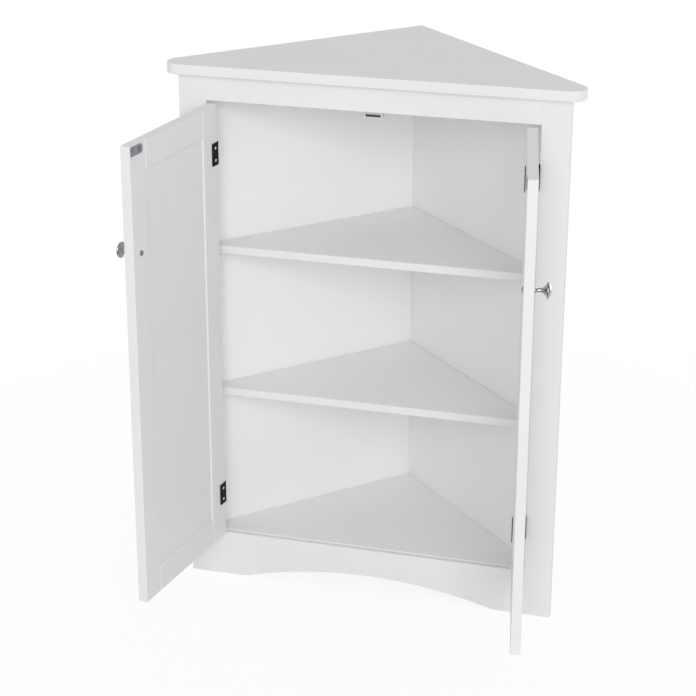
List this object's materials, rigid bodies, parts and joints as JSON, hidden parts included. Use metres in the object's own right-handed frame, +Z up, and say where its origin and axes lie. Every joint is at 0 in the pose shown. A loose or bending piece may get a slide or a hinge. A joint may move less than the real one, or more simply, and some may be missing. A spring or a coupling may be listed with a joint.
{
  "type": "corner cupboard",
  "caption": "White corner cupboard with an overhanging top board, an arched base, shelves, a magnetic catch and framed doors that stand open on black hinges.",
  "frame": {"origin": "on the floor, under the middle of the box round the whole cupboard with its doors open as at rest", "axes": "+Z up, +Y towards the corner of the room, +X to the right as one faces the cupboard"},
  "size_m": [0.5906, 0.5474, 0.8],
  "materials": {
    "enamel": "white satin paint on board",
    "hinge_black": "black coated steel",
    "chrome": "polished",
    "zinc": "zinc plated",
    "white_plastic": "moulded",
    "ferrite": "sintered magnet"
  },
  "bodies": {
    "cabinet": {"bottom_rail": "enamel", "catch_housing": "white_plastic", "catch_magnet": "ferrite", "catch_pole_lower": "zinc", "catch_pole_upper": "zinc", "catch_screw_left": "zinc", "catch_screw_right": "zinc", "floor_board": "enamel", "left_lower_hinge_frame_leaf": "hinge_black", "left_lower_hinge_pin": "hinge_black", "left_side_panel": "enamel", "left_stile": "enamel", "left_upper_hinge_frame_leaf": "hinge_black", "left_upper_hinge_pin": "hinge_black", "lower_shelf": "enamel", "right_lower_hinge_frame_leaf": "hinge_black", "right_lower_hinge_pin": "hinge_black", "right_side_panel": "enamel", "right_stile": "enamel", "right_upper_hinge_frame_leaf": "hinge_black", "right_upper_hinge_pin": "hinge_black", "shelf_pin_left_1": "zinc", "shelf_pin_left_2": "zinc", "shelf_pin_left_3": "zinc", "shelf_pin_left_4": "zinc", "shelf_pin_right_1": "zinc", "shelf_pin_right_2": "zinc", "shelf_pin_right_3": "zinc", "shelf_pin_right_4": "zinc", "top_board": "enamel", "top_rail": "enamel", "upper_shelf": "enamel"},
    "left_door": {"left_door_bottom_rail": "enamel", "left_door_hinge_stile": "enamel", "left_door_meeting_stile": "enamel", "left_door_panel": "enamel", "left_door_top_rail": "enamel", "left_knob": "chrome", "left_knob_screw": "zinc", "left_lower_hinge_door_leaf": "hinge_black", "left_strike_plate": "zinc", "left_strike_screw": "zinc", "left_upper_hinge_door_leaf": "hinge_black"},
    "right_door": {"right_door_bottom_rail": "enamel", "right_door_hinge_stile": "enamel", "right_door_meeting_stile": "enamel", "right_door_panel": "enamel", "right_door_top_rail": "enamel", "right_knob": "chrome", "right_knob_screw": "zinc", "right_lower_hinge_door_leaf": "hinge_black", "right_strike_plate": "zinc", "right_strike_screw": "zinc", "right_upper_hinge_door_leaf": "hinge_black"}
  },
  "joints": [
    {"name": "left_door_hinge", "type": "hinge", "parent": "cabinet", "child": "left_door", "pos_m": [-0.2355, -0.04056, 0], "axis": [0, 0, 1], "range_deg": [-79.8, 100.2]},
    {"name": "right_door_hinge", "type": "hinge", "parent": "cabinet", "child": "right_door", "pos_m": [0.2355, -0.04056, 0], "axis": [0, 0, -1], "range_deg": [-79.8, 100.2]}
  ]
}
